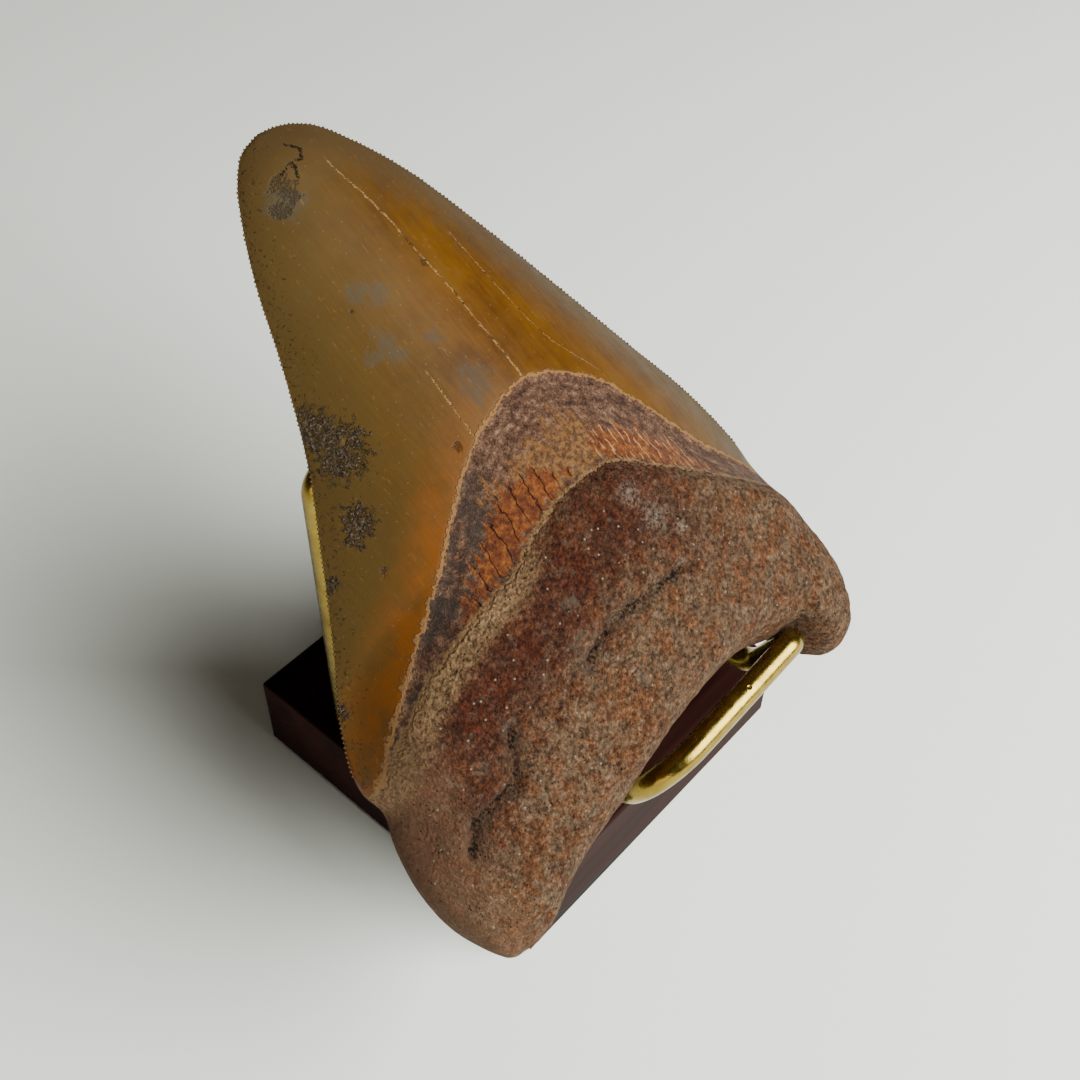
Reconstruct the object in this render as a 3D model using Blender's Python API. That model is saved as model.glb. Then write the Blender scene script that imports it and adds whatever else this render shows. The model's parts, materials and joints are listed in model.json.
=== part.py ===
"""Fossil shark tooth leaning in a bent brass cradle on a hardwood block.

Metres, +Z up. The origin is the centre of the block's underside, +X runs along the block's front
edge and +Y points away from the viewer, the way the tooth leans.
"""

import math

import bmesh
import bpy
import numpy as np
from mathutils import Vector, noise

MM = 0.001

# Hardwood block
BLOCK_WIDTH = 76.2 * MM
BLOCK_DEPTH = 73.9 * MM
BLOCK_HEIGHT = 20.0 * MM
BLOCK_FOOT_ROUND = 1.6 * MM
BLOCK_EDGE_ROUND = 0.5 * MM
HOLE_DEPTH = 12.0 * MM

# Brass rod, 3/16 inch
ROD_RADIUS = 2.38 * MM
FIT_GAP = 0.3 * MM
ROD_SIDES = 16
ARC_STEPS = 7

# Front cradle: bar across the front, legs down to two arms, arms back to feet in the block
BAR_Y = -48.2 * MM
BAR_LEFT_X = -16.6 * MM
BAR_RIGHT_X = 22.6 * MM
BAR_LEFT_Z = 48.2 * MM
BAR_RIGHT_Z = 51.4 * MM
ARM_Z = 35.8 * MM
ARM_FRONT_Y = -40.4 * MM
ARM_BACK_Y = -12.0 * MM
ARM_INWARD = 3.4 * MM
BAR_LEFT_BEND = 10.2 * MM
BAR_RIGHT_BEND = 3.3 * MM
ARM_BEND = 6.5 * MM

# Back rest: upright legs joined by a top bar
REST_LEFT_X = -32.8 * MM
REST_RIGHT_X = 28.5 * MM
REST_Y = 16.8 * MM
REST_TOP_Z = 90.6 * MM
REST_BEND = 4.0 * MM

# The tooth's own axes: x across, s up the tooth, h out of its back face towards the viewer
TOOTH_FOOT = (0.0, -37.3, 38.5)
TOOTH_LEAN = math.radians(44.0)
TOOTH_COLUMNS = 41
TOOTH_ROWS = 46
SIDE_ROUND = 12.0
CROWN_SIDE_ROUND = 5.0
UNDER_ROUND = 9.5
TORUS_RISE = 0.8
BAND_SINK = 0.5
CREVICE_DEPTH = 0.8
CREVICE_HALF_WIDTH = 1.5
LUMP_HEIGHT = 0.55
LUMP_LENGTH = 9.0

# Outline in (x, s), millimetres, from the tip down each cutting edge and round the root
LEFT_EDGE = [
    (-7.4, 126.4), (-12.2, 124.8), (-15.8, 121.2), (-19.6, 114.7), (-22.9, 107.4), (-28.0, 92.6),
    (-34.0, 78.1), (-41.7, 64.3), (-49.7, 51.0), (-56.4, 40.8), (-59.7, 31.0), (-58.9, 26.6),
    (-60.4, 22.0), (-61.6, 13.5), (-60.9, 5.7), (-59.0, -0.5),
]
RIGHT_EDGE = [
    (-7.4, 126.4), (-2.6, 125.8), (1.6, 124.0), (7.6, 117.9), (12.5, 111.0), (20.1, 95.5),
    (26.9, 78.9), (33.6, 61.5), (38.8, 47.5), (41.6, 33.6), (41.5, 25.0), (42.5, 17.0),
    (43.3, 9.6), (41.8, 1.5),
]
UNDERSIDE = [
    (-59.0, -0.5), (-57.4, -4.0), (-53.6, -5.9), (-48.2, -5.6), (-43.5, -3.3), (-38.5, -1.2),
    (-27.6, 1.4), (-16.3, 4.2), (-5.0, 6.0), (4.5, 6.4), (12.5, 5.4), (19.0, 3.0), (23.2, 2.4),
    (25.7, 0.8), (27.0, -3.6), (28.6, -7.0), (31.4, -8.7), (36.0, -7.8), (39.2, -4.2), (41.8, 1.5),
]

# Profile in (s, h): the cutting edges, the rounded front face and the flatter back face
EDGE_LINE = [(-12, 10.5), (5, 10.5), (20, 8.6), (30, 7.4), (60, 5.0), (90, 3.4), (126.5, 2.4)]
FRONT_LINE = [
    (-12, 20.0), (0, 22.0), (10, 24.0), (22, 25.5), (35, 25.6), (48, 24.0), (60, 21.6),
    (72, 18.8), (85, 15.6), (100, 12.0), (113, 8.6), (122, 5.6), (126.5, 2.6),
]
BACK_LINE = [
    (-12, -2.5), (8, -3.4), (20, -2.6), (34, -0.4), (50, 1.4), (75, 2.7), (97, 1.8),
    (115, 1.2), (126.5, 2.0),
]

# Lower border of the enamel and upper border of the root, on the front face
ENAMEL_BORDER = [
    (-61.0, 28.5), (-55.7, 35.0), (-47.0, 42.6), (-40.4, 47.3), (-32.5, 52.9), (-26.4, 58.3),
    (-16.8, 65.5), (-8.8, 69.2), (-3.0, 70.4), (1.1, 70.3), (9.7, 66.4), (17.2, 59.8),
    (22.5, 51.1), (28.6, 41.5), (36.5, 33.0), (43.5, 23.5),
]
ROOT_BORDER = [
    (-61.0, 28.0), (-55.2, 33.8), (-47.0, 39.5), (-40.8, 42.3), (-31.2, 44.9), (-23.8, 46.3),
    (-17.3, 49.2), (-10.9, 51.1), (-1.7, 51.4), (3.5, 50.6), (10.7, 45.4), (18.6, 39.3),
    (28.1, 31.9), (36.0, 26.0), (43.5, 22.0),
]
BACK_ENAMEL_BORDER = [(-61.0, 27.0), (-40.0, 31.0), (-9.0, 36.0), (22.0, 30.0), (43.5, 22.0)]
CREVICES = [
    [(-22.4, 28.1), (-15.7, 30.7), (-11.1, 30.6), (2.3, 29.3)],
    [(-39.6, 27.7), (-43.3, 20.6), (-51.6, 19.5), (-54.6, 15.3)],
]


def step(low, high, value):
    """0 below low, 1 above high, eased between them."""
    k = np.clip((value - low) / (high - low), 0, 1)
    return k * k * (3 - 2 * k)


def cubic(start, end, start_slope, end_slope, width, k):
    """A cubic from start to end with the given slopes, at share k of its width."""
    return (
        (2 * k**3 - 3 * k**2 + 1) * start
        + (k**3 - 2 * k**2 + k) * width * start_slope
        + (3 * k**2 - 2 * k**3) * end
        + (k**3 - k**2) * width * end_slope
    )


def along(points, share):
    """Points of a smooth curve through the given ones, at shares of its length."""
    p = np.array(points, float)
    reach = np.concatenate([[0.0], np.cumsum(np.linalg.norm(np.diff(p, axis=0), axis=1))])
    reach /= reach[-1]
    slope = np.gradient(p, reach, axis=0)
    i = np.clip(np.searchsorted(reach, share, side="right") - 1, 0, len(p) - 2)
    width = reach[i + 1] - reach[i]
    k = ((share - reach[i]) / width)[..., None]
    return cubic(p[i], p[i + 1], slope[i], slope[i + 1], width[..., None], k)


def level(points, x):
    """The second coordinate of a smooth curve, read at its first."""
    p = np.array(points, float)
    slope = np.gradient(p[:, 1], p[:, 0])
    x = np.clip(x, p[0, 0], p[-1, 0])
    i = np.clip(np.searchsorted(p[:, 0], x, side="right") - 1, 0, len(p) - 2)
    width = p[i + 1, 0] - p[i, 0]
    k = (x - p[i, 0]) / width
    return cubic(p[i, 1], p[i + 1, 1], slope[i], slope[i + 1], width, k)


def rounded(distance, radius):
    """A quarter circle's height, 0 at the rim and 1 from one radius in."""
    k = np.clip(distance / radius, 0, 1)
    return np.sqrt(1 - (1 - k) ** 2)


def line_distance(line, x, s):
    """Distance in the tooth's plane to a chain of straight pieces."""
    nearest = np.full(x.shape, np.inf)
    for (x0, s0), (x1, s1) in zip(line, line[1:]):
        run, rise = x1 - x0, s1 - s0
        k = np.clip(((x - x0) * run + (s - s0) * rise) / (run**2 + rise**2), 0, 1)
        nearest = np.minimum(nearest, np.hypot(x - x0 - k * run, s - s0 - k * rise))
    return nearest


def lumps(x, s, side):
    """Slow unevenness of worn root, between -1 and 1."""
    spots = [Vector((a / LUMP_LENGTH, b / LUMP_LENGTH, side)) for a, b in zip(x.flat, s.flat)]
    return np.array([noise.noise(spot) for spot in spots]).reshape(x.shape)


def tooth_faces(u, v):
    """Plan position and front and back heights, for shares across (u) and down (v) the tooth."""
    left = along(LEFT_EDGE, v)
    right = along(RIGHT_EDGE, v)
    x = left[..., 0] * (1 - u) + right[..., 0] * u
    s = left[..., 1] * (1 - u) + right[..., 1] * u
    chord_x = LEFT_EDGE[-1][0] * (1 - u) + RIGHT_EDGE[-1][0] * u
    chord_s = LEFT_EDGE[-1][1] * (1 - u) + RIGHT_EDGE[-1][1] * u
    under = level(UNDERSIDE, chord_x)
    s = s + step(0.6, 1.0, v) * (under - chord_s)

    off_centre = np.abs(2 * u - 1)
    to_side = np.minimum(u, 1 - u) * (right[..., 0] - left[..., 0])
    low = 1 - step(20, 48, s)
    side_round = CROWN_SIDE_ROUND + (SIDE_ROUND - CROWN_SIDE_ROUND) * low
    rim = rounded(to_side, side_round) * rounded(s - under, UNDER_ROUND)
    blade = 1 - off_centre**2

    edge = level(EDGE_LINE, s)
    above_root = s - level(ROOT_BORDER, x)
    root = 1 - step(-6, 9, above_root)
    lobe_thinning = 1 - 0.16 * off_centre**2 * low
    body = (0.35 * blade + 0.65) * rim * lobe_thinning
    front = edge + (level(FRONT_LINE, s) - edge) * (blade * (1 - root) + body * root)
    back_root = 1 - step(8, 40, s)
    back_blade = 1 - off_centre**2.2
    back = edge - (edge - level(BACK_LINE, s)) * (back_blade * (1 - back_root) + rim * back_root)

    inset = step(0, 5, np.minimum(to_side, s - under))
    band = step(0.0, 2.5, above_root) * (1 - step(-2.0, 0.5, s - level(ENAMEL_BORDER, x)))
    front += inset * (TORUS_RISE * (1 - step(-3.0, 0.5, above_root)) - BAND_SINK * band)
    for line in CREVICES:
        front -= inset * CREVICE_DEPTH * np.exp(-((line_distance(line, x, s) / CREVICE_HALF_WIDTH) ** 2))
    front += inset * LUMP_HEIGHT * (1 - step(-4, 0, above_root)) * lumps(x, s, 0.0)
    back_step = 1 - step(-2.0, 1.0, s - level(BACK_ENAMEL_BORDER, x))
    back -= inset * back_step * (0.4 - LUMP_HEIGHT * lumps(x, s, 7.0))
    return x, s, front, back


def tooth_point(x, s, h):
    """The row-frame position, in metres, of a point in the tooth's own axes."""
    y = TOOTH_FOOT[1] + s * math.cos(TOOTH_LEAN) - h * math.sin(TOOTH_LEAN)
    z = TOOTH_FOOT[2] + s * math.sin(TOOTH_LEAN) + h * math.cos(TOOTH_LEAN)
    return Vector(((TOOTH_FOOT[0] + x) * MM, y * MM, z * MM))


def shares(count, ease):
    """Shares from 0 to 1, drawn towards both ends by ease."""
    even = np.linspace(0, 1, count)
    return ease * (0.5 - 0.5 * np.cos(np.pi * even)) + (1 - ease) * even


def make_tooth():
    """One closed body: a front and a back sheet that share the cutting edges and the rim."""
    across = shares(TOOTH_COLUMNS, 0.6)
    even = np.linspace(0, 1, TOOTH_ROWS)
    down = 0.5 * even + 0.5 * (1 - (1 - even) ** 1.5)
    u, v = np.meshgrid(across, down)
    x, s, front, back = tooth_faces(u, v)

    mesh = bmesh.new()
    tip = mesh.verts.new(tooth_point(x[0, 0], s[0, 0], level(EDGE_LINE, s[0, 0])))
    sheets = ([], [])
    last_row, last_column = TOOTH_ROWS - 1, TOOTH_COLUMNS - 1
    for i in range(1, TOOTH_ROWS):
        front_row, back_row = [], []
        for j in range(TOOTH_COLUMNS):
            vertex = mesh.verts.new(tooth_point(x[i, j], s[i, j], front[i, j]))
            front_row.append(vertex)
            if j in (0, last_column) or i == last_row:
                back_row.append(vertex)
            else:
                back_row.append(mesh.verts.new(tooth_point(x[i, j], s[i, j], back[i, j])))
        sheets[0].append(front_row)
        sheets[1].append(back_row)
    for side, rows in enumerate(sheets):
        for j in range(last_column):
            face = [tip, rows[0][j], rows[0][j + 1]]
            mesh.faces.new(face if side == 0 else face[::-1])
        for upper, lower in zip(rows, rows[1:]):
            for j in range(last_column):
                face = [upper[j], lower[j], lower[j + 1], upper[j + 1]]
                mesh.faces.new(face if side == 0 else face[::-1])
    bmesh.ops.recalc_face_normals(mesh, faces=mesh.faces[:])
    return finish_mesh(mesh, "tooth", smooth=True)


def bent(corners, radii):
    """A chain of corners with each inner one rounded to its radius."""
    path = [corners[0]]
    for before, corner, after, radius in zip(corners, corners[1:], corners[2:], radii):
        back = (before - corner).normalized()
        ahead = (after - corner).normalized()
        half = back.angle(ahead) / 2
        centre = corner + (back + ahead).normalized() * (radius / math.sin(half))
        start = corner + back * (radius / math.tan(half)) - centre
        end = corner + ahead * (radius / math.tan(half)) - centre
        path += [centre + radius * start.slerp(end, i / ARC_STEPS) for i in range(ARC_STEPS + 1)]
    return path + [corners[-1]]


def make_rod(name, path):
    """A round rod along a chain of points, with flat closed ends."""
    curve = bpy.data.curves.new(name, "CURVE")
    curve.dimensions = "3D"
    curve.bevel_depth = ROD_RADIUS
    curve.bevel_resolution = ROD_SIDES // 2 - 2
    curve.use_fill_caps = True
    spline = curve.splines.new("POLY")
    spline.points.add(len(path) - 1)
    for point, place in zip(spline.points, path):
        point.co = (*place, 1.0)
    guide = bpy.data.objects.new(name + "_guide", curve)
    bpy.context.scene.collection.objects.link(guide)
    solid = bpy.data.meshes.new_from_object(guide.evaluated_get(bpy.context.evaluated_depsgraph_get()))
    bpy.data.objects.remove(guide)
    mesh = bmesh.new()
    mesh.from_mesh(solid)
    bpy.data.meshes.remove(solid)
    bmesh.ops.remove_doubles(mesh, verts=mesh.verts[:], dist=0.00001)
    bmesh.ops.recalc_face_normals(mesh, faces=mesh.faces[:])
    return finish_mesh(mesh, name, smooth=True)


def finish_mesh(mesh, name, smooth):
    """A new object holding the mesh, in the part's collection."""
    data = bpy.data.meshes.new(name)
    mesh.to_mesh(data)
    mesh.free()
    for face in data.polygons:
        face.use_smooth = smooth
    made = bpy.data.objects.new(name, data)
    parts.objects.link(made)
    return made


def give_material(made, colour, metallic, roughness):
    """The object's own plain material."""
    material = bpy.data.materials.new(made.name)
    material.use_nodes = True
    shader = material.node_tree.nodes["Principled BSDF"]
    shader.inputs["Base Color"].default_value = (*colour, 1.0)
    shader.inputs["Metallic"].default_value = metallic
    shader.inputs["Roughness"].default_value = roughness
    made.data.materials.append(material)


def make_block(feet):
    """The block with rounded edges and one blind hole for each rod end."""
    mesh = bmesh.new()
    bmesh.ops.create_cube(mesh, size=1.0)
    bmesh.ops.scale(mesh, vec=(BLOCK_WIDTH, BLOCK_DEPTH, BLOCK_HEIGHT), verts=mesh.verts[:])
    bmesh.ops.translate(mesh, vec=(0, 0, BLOCK_HEIGHT / 2), verts=mesh.verts[:])
    foot = [edge for edge in mesh.edges if all(vert.co.z < MM for vert in edge.verts)]
    bmesh.ops.bevel(mesh, geom=foot, offset=BLOCK_FOOT_ROUND, segments=3, profile=0.5, affect="EDGES")
    sharp = [edge for edge in mesh.edges if min(vert.co.z for vert in edge.verts) > BLOCK_FOOT_ROUND / 2]
    sharp = [edge for edge in sharp if edge.calc_face_angle(0) > 1]
    bmesh.ops.bevel(mesh, geom=sharp, offset=BLOCK_EDGE_ROUND, segments=2, profile=0.5, affect="EDGES")
    block = finish_mesh(mesh, "block", smooth=False)
    for number, foot_place in enumerate(feet):
        drill = bmesh.new()
        bmesh.ops.create_cone(
            drill, cap_ends=True, segments=24, depth=2 * HOLE_DEPTH,
            radius1=ROD_RADIUS + FIT_GAP, radius2=ROD_RADIUS + FIT_GAP,
        )
        bmesh.ops.translate(drill, vec=(foot_place.x, foot_place.y, BLOCK_HEIGHT), verts=drill.verts[:])
        data = bpy.data.meshes.new(f"hole_{number}")
        drill.to_mesh(data)
        drill.free()
        cutter = bpy.data.objects.new(f"hole_{number}", data)
        cutter.hide_render = True
        cutter.display_type = "WIRE"
        cutters.objects.link(cutter)
        cut = block.modifiers.new(f"hole_{number}", "BOOLEAN")
        cut.operation = "DIFFERENCE"
        cut.solver = "EXACT"
        cut.object = cutter
    return block


for old in list(bpy.data.objects):
    bpy.data.objects.remove(old)
parts = bpy.data.collections.new("shark_tooth_on_stand")
cutters = bpy.data.collections.new("cutters")
bpy.context.scene.collection.children.link(parts)
bpy.context.scene.collection.children.link(cutters)

rod_end_z = BLOCK_HEIGHT - HOLE_DEPTH + FIT_GAP
cradle_corners = [
    Vector((BAR_LEFT_X + ARM_INWARD, ARM_BACK_Y, rod_end_z)),
    Vector((BAR_LEFT_X + ARM_INWARD, ARM_BACK_Y, ARM_Z)),
    Vector((BAR_LEFT_X, ARM_FRONT_Y, ARM_Z)),
    Vector((BAR_LEFT_X, BAR_Y, BAR_LEFT_Z)),
    Vector((BAR_RIGHT_X, BAR_Y, BAR_RIGHT_Z)),
    Vector((BAR_RIGHT_X, ARM_FRONT_Y, ARM_Z)),
    Vector((BAR_RIGHT_X - ARM_INWARD, ARM_BACK_Y, ARM_Z)),
    Vector((BAR_RIGHT_X - ARM_INWARD, ARM_BACK_Y, rod_end_z)),
]
rest_corners = [
    Vector((REST_LEFT_X, REST_Y, rod_end_z)),
    Vector((REST_LEFT_X, REST_Y, REST_TOP_Z)),
    Vector((REST_RIGHT_X, REST_Y, REST_TOP_Z)),
    Vector((REST_RIGHT_X, REST_Y, rod_end_z)),
]

cradle = make_rod(
    "front_cradle",
    bent(cradle_corners, [ARM_BEND, ARM_BEND, BAR_LEFT_BEND, BAR_RIGHT_BEND, ARM_BEND, ARM_BEND]),
)
rest = make_rod("back_rest", bent(rest_corners, [REST_BEND, REST_BEND]))
block = make_block([cradle_corners[0], cradle_corners[-1], rest_corners[0], rest_corners[-1]])
tooth = make_tooth()

give_material(tooth, (0.23, 0.11, 0.045), 0.0, 0.45)
give_material(cradle, (0.80, 0.58, 0.24), 1.0, 0.22)
give_material(rest, (0.80, 0.58, 0.24), 1.0, 0.22)
give_material(block, (0.045, 0.022, 0.018), 0.0, 0.4)
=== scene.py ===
import json
import math

import bmesh
import bpy
import numpy as np
from mathutils import Matrix, Vector, noise

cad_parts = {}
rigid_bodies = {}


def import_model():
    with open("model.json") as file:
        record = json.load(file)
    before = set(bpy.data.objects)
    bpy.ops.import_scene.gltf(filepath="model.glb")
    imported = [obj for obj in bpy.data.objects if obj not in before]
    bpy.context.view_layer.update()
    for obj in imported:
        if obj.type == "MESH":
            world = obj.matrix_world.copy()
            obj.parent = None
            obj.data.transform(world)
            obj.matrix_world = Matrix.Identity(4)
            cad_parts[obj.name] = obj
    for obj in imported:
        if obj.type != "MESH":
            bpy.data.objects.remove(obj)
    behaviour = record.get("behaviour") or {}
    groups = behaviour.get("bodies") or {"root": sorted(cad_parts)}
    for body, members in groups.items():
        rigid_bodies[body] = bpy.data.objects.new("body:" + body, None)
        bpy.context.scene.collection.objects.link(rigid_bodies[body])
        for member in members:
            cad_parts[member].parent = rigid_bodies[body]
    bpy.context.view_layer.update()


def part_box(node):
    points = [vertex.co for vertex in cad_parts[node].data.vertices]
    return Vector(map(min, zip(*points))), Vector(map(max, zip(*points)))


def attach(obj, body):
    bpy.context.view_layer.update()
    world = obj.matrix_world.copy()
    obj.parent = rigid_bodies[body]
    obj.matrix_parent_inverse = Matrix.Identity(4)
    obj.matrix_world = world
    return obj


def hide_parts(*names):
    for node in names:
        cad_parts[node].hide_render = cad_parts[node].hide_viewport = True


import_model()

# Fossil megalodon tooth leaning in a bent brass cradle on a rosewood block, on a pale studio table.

MM = 0.001

# Camera, from the block's edges in the photograph
CAMERA_PLACE = (-0.13458, -0.11912, 0.26454)
CAMERA_AZIMUTH = -0.86542668
CAMERA_ELEVATION = 0.84850194
CAMERA_ROLL = 0.02284686
LENS_MM = 48.6747
SENSOR_MM = 36.0

# Brass rod, 3/16 inch, and the two bent frames: each corner's place and bend radius, in millimetres
ROD_RADIUS = 2.38
ROD_END_Z = 8.3
ROD_SIDES = 40
BEND_STEPS = 12
CRADLE = [
    ((-13.2, -12.0, ROD_END_Z), 0.0), ((-13.2, -12.0, 35.8), 6.5), ((-16.6, -40.4, 35.8), 6.5),
    ((-16.6, -48.2, 48.2), 10.2), ((22.6, -48.2, 51.4), 3.3), ((22.6, -40.4, 35.8), 6.5),
    ((19.2, -12.0, 35.8), 6.5), ((19.2, -12.0, ROD_END_Z), 0.0),
]
REST = [
    ((-32.8, 16.8, ROD_END_Z), 0.0), ((-32.8, 16.8, 90.6), 4.0), ((28.5, 16.8, 90.6), 4.0),
    ((28.5, 16.8, ROD_END_Z), 0.0),
]

# The tooth's own axes, in millimetres: x across, s up the tooth, h out of its front face
TOOTH_FOOT = (0.0, -37.3, 38.5)
TOOTH_LEAN = math.radians(44.0)

# The sheets' grid, finer towards the cutting edges and the root's underside
COLUMNS = 260
ROWS = 270
COLUMN_CROWDING = 0.6
ROW_CROWDING = 0.5
UNDERSIDE_FROM = 0.6

# Heights over which the root's form gives way to the crown's; the shoulder's are from the root's border
CROWN_STARTS = (20, 48)
BACK_CROWN_STARTS = (8, 40)
SHOULDER = (-6, 9)

# Rounding of the body
SIDE_ROUND = 12.0
CROWN_SIDE_ROUND = 5.0
UNDER_ROUND = 9.5
ROOT_DOME = 0.35
BACK_DOME_POWER = 2.2
LOBE_THINNING = 0.16

# Relief of the faces, which fades out over the inset along the rim; grain is height, length, noise level
INSET = 5.0
RIM_INSET = 2.0
TORUS_RISE = 0.8
BAND_SINK = 0.5
CREVICE_DEPTH = 0.8
CREVICE_HALF_WIDTH = 1.5
CLEFT_DEPTH = 0.6
CLEFT_HALF_WIDTH = 0.5
LUMP_HEIGHT = 0.55
LUMP_LENGTH = 9.0
ROOT_GRAIN = [(0.24, 3.2, 1.0), (0.17, 1.1, 2.0)]
CRUST_DEPTH = 0.12
CRUST_GRAIN_HEIGHT = 0.25
ENAMEL_WAVE_HEIGHT = 0.10
BACK_ROOT_SINK = 0.4
BACK_GRAIN_HEIGHT = 0.2

# Serrations along the cutting edge
CUTTING_EDGE_FROM = 34.0
SERRATION_PITCH = 0.78
SERRATION_SIZE = 0.25
SERRATION_SEED = 5
EDGE_RISE = 0.35

# Outlines and borders, as x and s
LEFT_EDGE = [
    (-7.4, 126.4), (-12.2, 124.8), (-15.8, 121.2), (-19.6, 114.7), (-22.9, 107.4), (-28.0, 92.6),
    (-34.0, 78.1), (-41.7, 64.3), (-49.7, 51.0), (-56.4, 40.8), (-59.7, 31.0), (-58.9, 26.6),
    (-60.4, 22.0), (-61.6, 13.5), (-60.9, 5.7), (-59.0, -0.5),
]
RIGHT_EDGE = [
    (-7.4, 126.4), (-2.6, 125.8), (1.6, 124.0), (7.6, 117.9), (12.5, 111.0), (20.1, 95.5),
    (26.9, 78.9), (33.6, 61.5), (38.8, 47.5), (41.6, 33.6), (41.5, 25.0), (42.5, 17.0),
    (43.3, 9.6), (41.8, 1.5),
]
UNDERSIDE = [
    (-59.0, -0.5), (-57.4, -4.0), (-53.6, -5.9), (-48.2, -5.6), (-43.5, -3.3), (-38.5, -1.2),
    (-27.6, 1.4), (-16.3, 4.2), (-5.0, 6.0), (4.5, 6.4), (12.5, 5.4), (19.0, 3.0), (23.2, 2.4),
    (25.7, 0.8), (27.0, -3.6), (28.6, -7.0), (31.4, -8.7), (36.0, -7.8), (39.2, -4.2), (41.8, 1.5),
]

# Heights of the rim, the front and the back along the middle, as s and h
EDGE_LINE = [(-12, 10.5), (5, 10.5), (20, 8.6), (30, 7.4), (60, 5.0), (90, 3.4), (126.5, 2.4)]
FRONT_LINE = [
    (-12, 20.0), (0, 22.0), (10, 24.0), (22, 25.5), (35, 25.6), (48, 24.0), (60, 21.6),
    (72, 18.8), (85, 15.6), (100, 12.0), (113, 8.6), (122, 5.6), (126.5, 2.6),
]
BACK_LINE = [
    (-12, -2.5), (8, -3.4), (20, -2.6), (34, -0.4), (50, 1.4), (75, 2.7), (97, 1.8),
    (115, 1.2), (126.5, 2.0),
]

ENAMEL_BORDER = [
    (-61.0, 28.5), (-55.7, 35.0), (-47.0, 42.6), (-40.4, 47.3), (-32.5, 52.9), (-26.4, 58.3),
    (-16.8, 65.5), (-8.8, 69.2), (-3.0, 70.4), (1.1, 70.3), (9.7, 66.4), (17.2, 59.8),
    (22.5, 51.1), (28.6, 41.5), (36.5, 33.0), (43.5, 23.5),
]
ROOT_BORDER = [
    (-61.0, 28.0), (-55.2, 33.8), (-47.0, 39.5), (-40.8, 42.3), (-31.2, 44.9), (-23.8, 46.3),
    (-17.3, 49.2), (-10.9, 51.1), (-1.7, 51.4), (3.5, 50.6), (10.7, 45.4), (18.6, 39.3),
    (28.1, 31.9), (36.0, 26.0), (43.5, 22.0),
]
BACK_ENAMEL_BORDER = [(-61.0, 27.0), (-40.0, 31.0), (-9.0, 36.0), (22.0, 30.0), (43.5, 22.0)]

# Marks on the front face: paths and outlines as x and s, spots as x, s and radius
CREVICES = [
    [(-22.4, 28.1), (-15.7, 30.7), (-11.1, 30.6), (2.3, 29.3)],
    [(-39.6, 27.7), (-43.3, 20.6), (-51.6, 19.5), (-54.6, 15.3)],
]
LONG_CRACKS = [
    [(-1.8, 115.5), (-0.8, 109.7), (0.0, 103.3), (0.1, 96.6), (0.6, 89.0), (0.5, 79.6), (0.4, 70.9)],
    [(9.6, 94.5), (9.9, 84.4), (10.5, 77.2), (11.7, 71.6), (17.2, 62.7)],
    [(-13.0, 79.1), (-13.6, 72.0), (-13.9, 67.8)],
]
TIP_CRACKS = [
    [(-6.0, 122.6), (-4.4, 120.8), (-5.6, 119.2), (-8.2, 119.4), (-10.4, 118.6)],
    [(-7.4, 119.2), (-8.4, 117.0)],
]
ORANGE_PATCHES = [
    [
        (-34.7, 45.0), (-30.2, 48.4), (-26.5, 51.2), (-20.9, 54.9), (-17.6, 57.7), (-13.7, 57.9),
        (-8.6, 57.3), (-5.0, 53.8), (-9.6, 52.4), (-14.4, 51.5), (-19.0, 49.4), (-23.5, 47.6),
        (-27.9, 46.4), (-32.1, 45.0),
    ],
    [
        (4.3, 57.3), (9.2, 54.6), (14.8, 50.8), (19.7, 45.9), (22.0, 41.2), (23.7, 36.8),
        (17.5, 40.6), (11.4, 46.0), (6.0, 50.0), (2.1, 53.0),
    ],
]
TAN_PATCH = [
    (-20.0, 58.5), (-8.4, 61.2), (-1.0, 62.4), (6.0, 60.8), (6.5, 55.0), (3.5, 51.4),
    (-4.2, 51.8), (-14.0, 51.6), (-12.0, 56.0),
]
SMEARS = [
    (-13.0, 96.2, 3.0), (-10.8, 94.2, 2.8), (-15.0, 87.4, 2.8), (-15.0, 85.0, 2.8), (-17.6, 86.4, 2.0),
    (-6.8, 74.6, 4.2), (-8.8, 73.0, 3.0), (-8.2, 84.0, 2.2), (-12.6, 114.4, 4.4),
]
DARK_SPOTS = [
    (-17.4, 67.6, 1.2), (-12.9, 66.5, 1.4), (-0.4, 94.8, 1.3), (-15.8, 94.3, 0.9), (-11.3, 116.4, 3.2),
    (-14.0, 113.8, 2.2), (-37.0, 58.0, 1.4),
]
CRUST = [
    (-30.6, 83.0, 3.4), (-29.8, 79.6, 4.2), (-30.6, 75.6, 4.0), (-27.6, 77.4, 2.4), (-34.8, 66.6, 3.0),
    (-37.0, 64.0, 1.6), (-43.4, 60.2, 1.6), (-55.0, 43.6, 1.8),
]
LICHEN = [
    (3.4, 39.4, 5.0), (1.8, 45.0, 4.2), (6.4, 34.8, 2.6), (-16.7, 21.6, 2.2), (-35.2, 7.8, 1.4),
    (2.6, 30.4, 1.8),
]

# Pits in the root, as x, s, radius and depth
PITS = [
    (-1.6, 14.1, 1.3, 1.6), (-42.9, 20.2, 1.0, 0.9), (-57.0, 3.6, 0.8, 0.9), (-54.4, -2.6, 0.9, 1.2),
    (-49.4, -1.4, 0.9, 1.0), (-56.7, -2.0, 0.7, 0.8), (37.5, 6.5, 0.8, 0.8), (-24.0, 12.0, 0.8, 0.6),
]

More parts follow.
